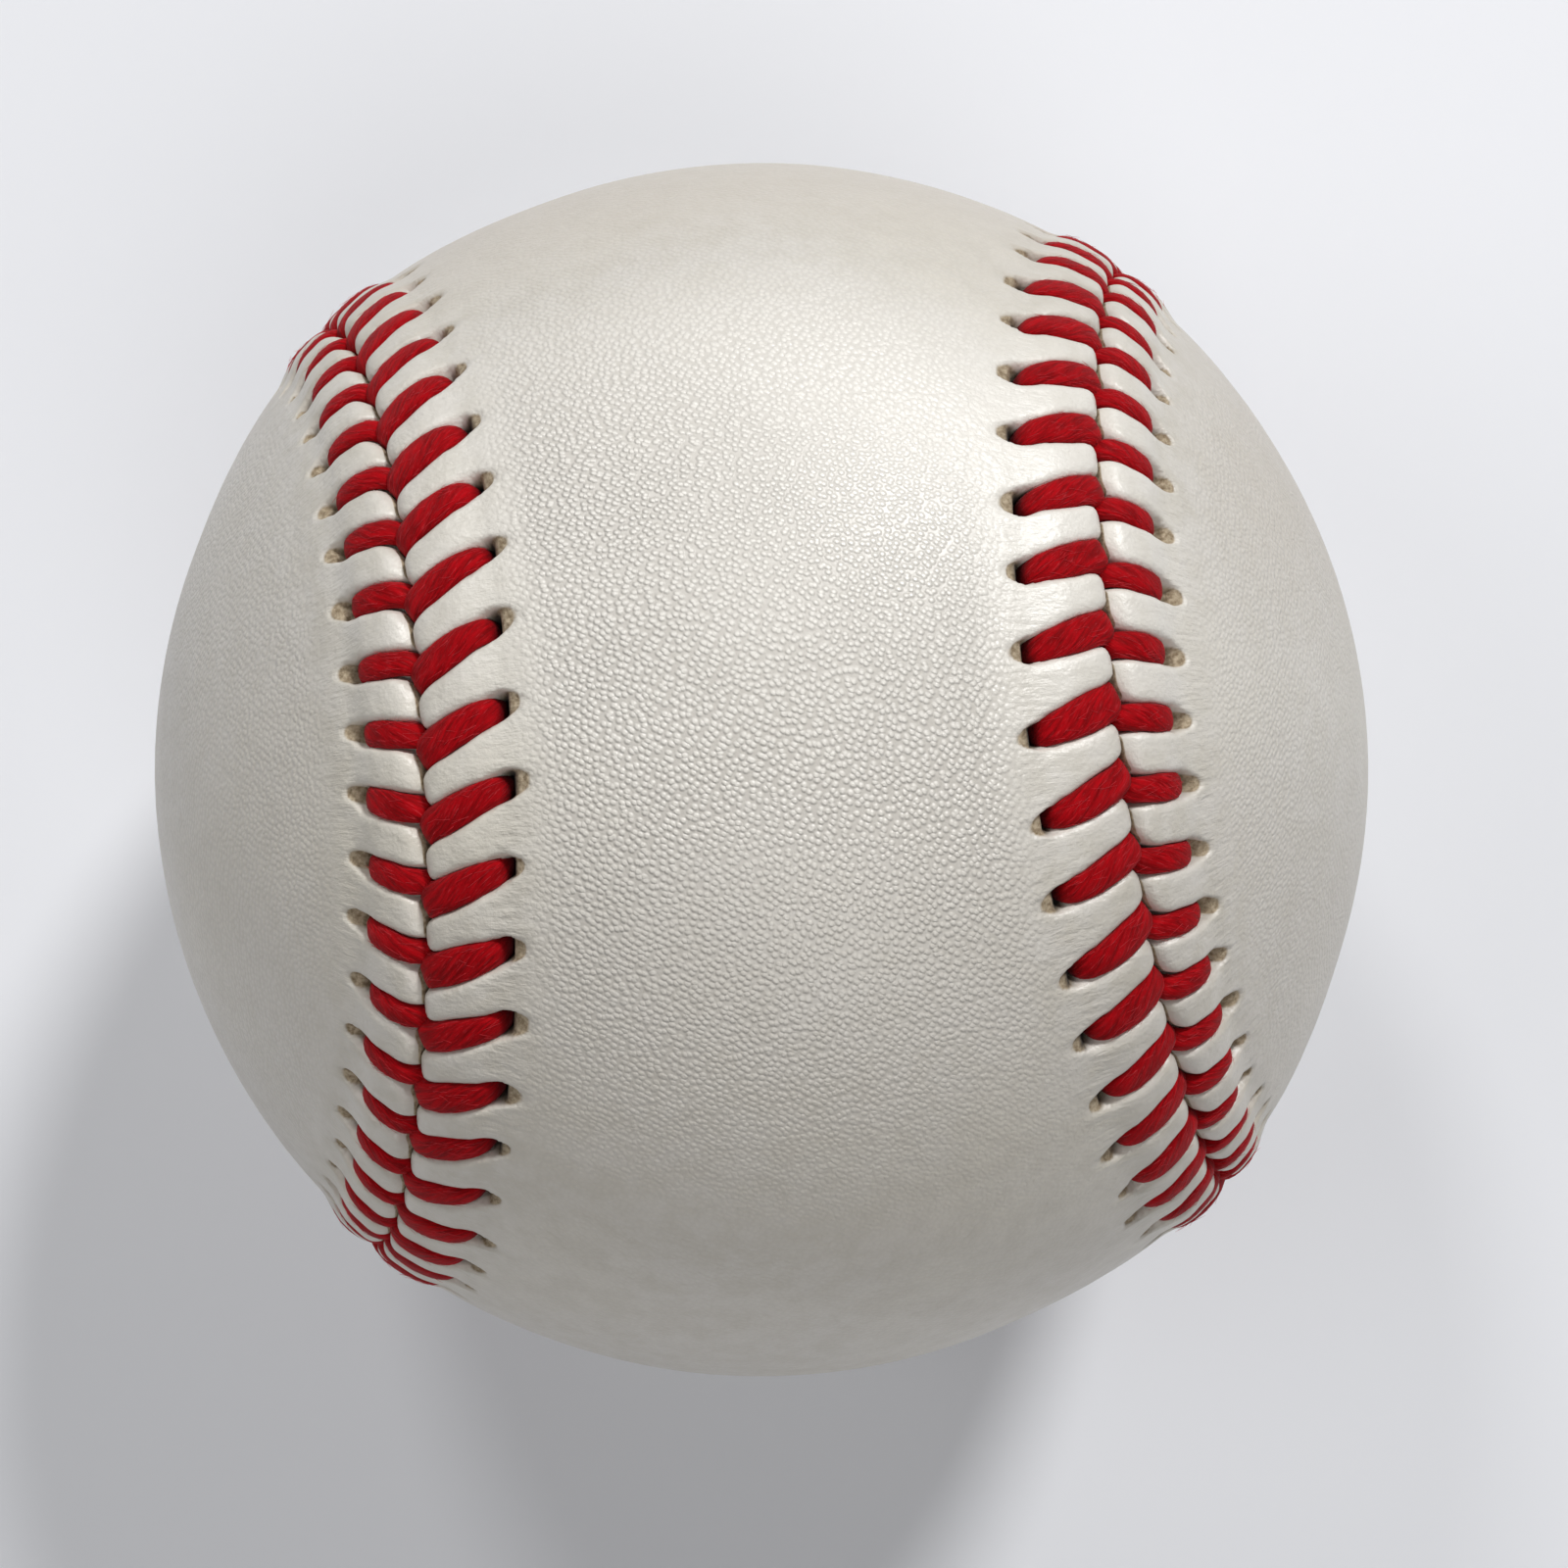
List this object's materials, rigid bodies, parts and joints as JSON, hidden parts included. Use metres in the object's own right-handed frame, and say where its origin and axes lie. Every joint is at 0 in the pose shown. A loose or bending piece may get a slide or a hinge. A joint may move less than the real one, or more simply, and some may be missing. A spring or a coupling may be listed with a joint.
{
  "type": "baseball",
  "caption": "Hand-sewn leather ball with a cork and rubber core, wound yarn layers, a cover of interlocking leather panels and a raised seam of red thread, for pitching and batting.",
  "frame": {"origin": "centre of the ball", "axes": "+Z out through the middle of the front panel's waist, which faces up; the front panel's lobes fold down along +Y and -Y, and the back panel's lobes reach up along +X and -X"},
  "size_m": [0.0742, 0.0742, 0.0742],
  "materials": {
    "cork": "pressed cork and rubber composition",
    "black_rubber": "matt moulded",
    "red_rubber": "matt moulded",
    "grey_wool": "wound wool yarn",
    "white_wool": "wound wool yarn",
    "white_cotton": "fine wound cotton blend yarn",
    "white_leather": "satin, pebbled grain",
    "red_thread": "waxed cotton thread"
  },
  "bodies": {
    "root": {"cork_core": "cork", "upper_rubber_cup": "black_rubber", "lower_rubber_cup": "black_rubber", "joint_washers": "red_rubber", "red_rubber_layer": "red_rubber", "inner_grey_winding": "grey_wool", "middle_white_winding": "white_wool", "outer_grey_winding": "grey_wool", "finishing_winding": "white_cotton", "front_leather_panel": "white_leather", "back_leather_panel": "white_leather", "first_thread": "red_thread", "second_thread": "red_thread"}
  },
  "joints": []
}
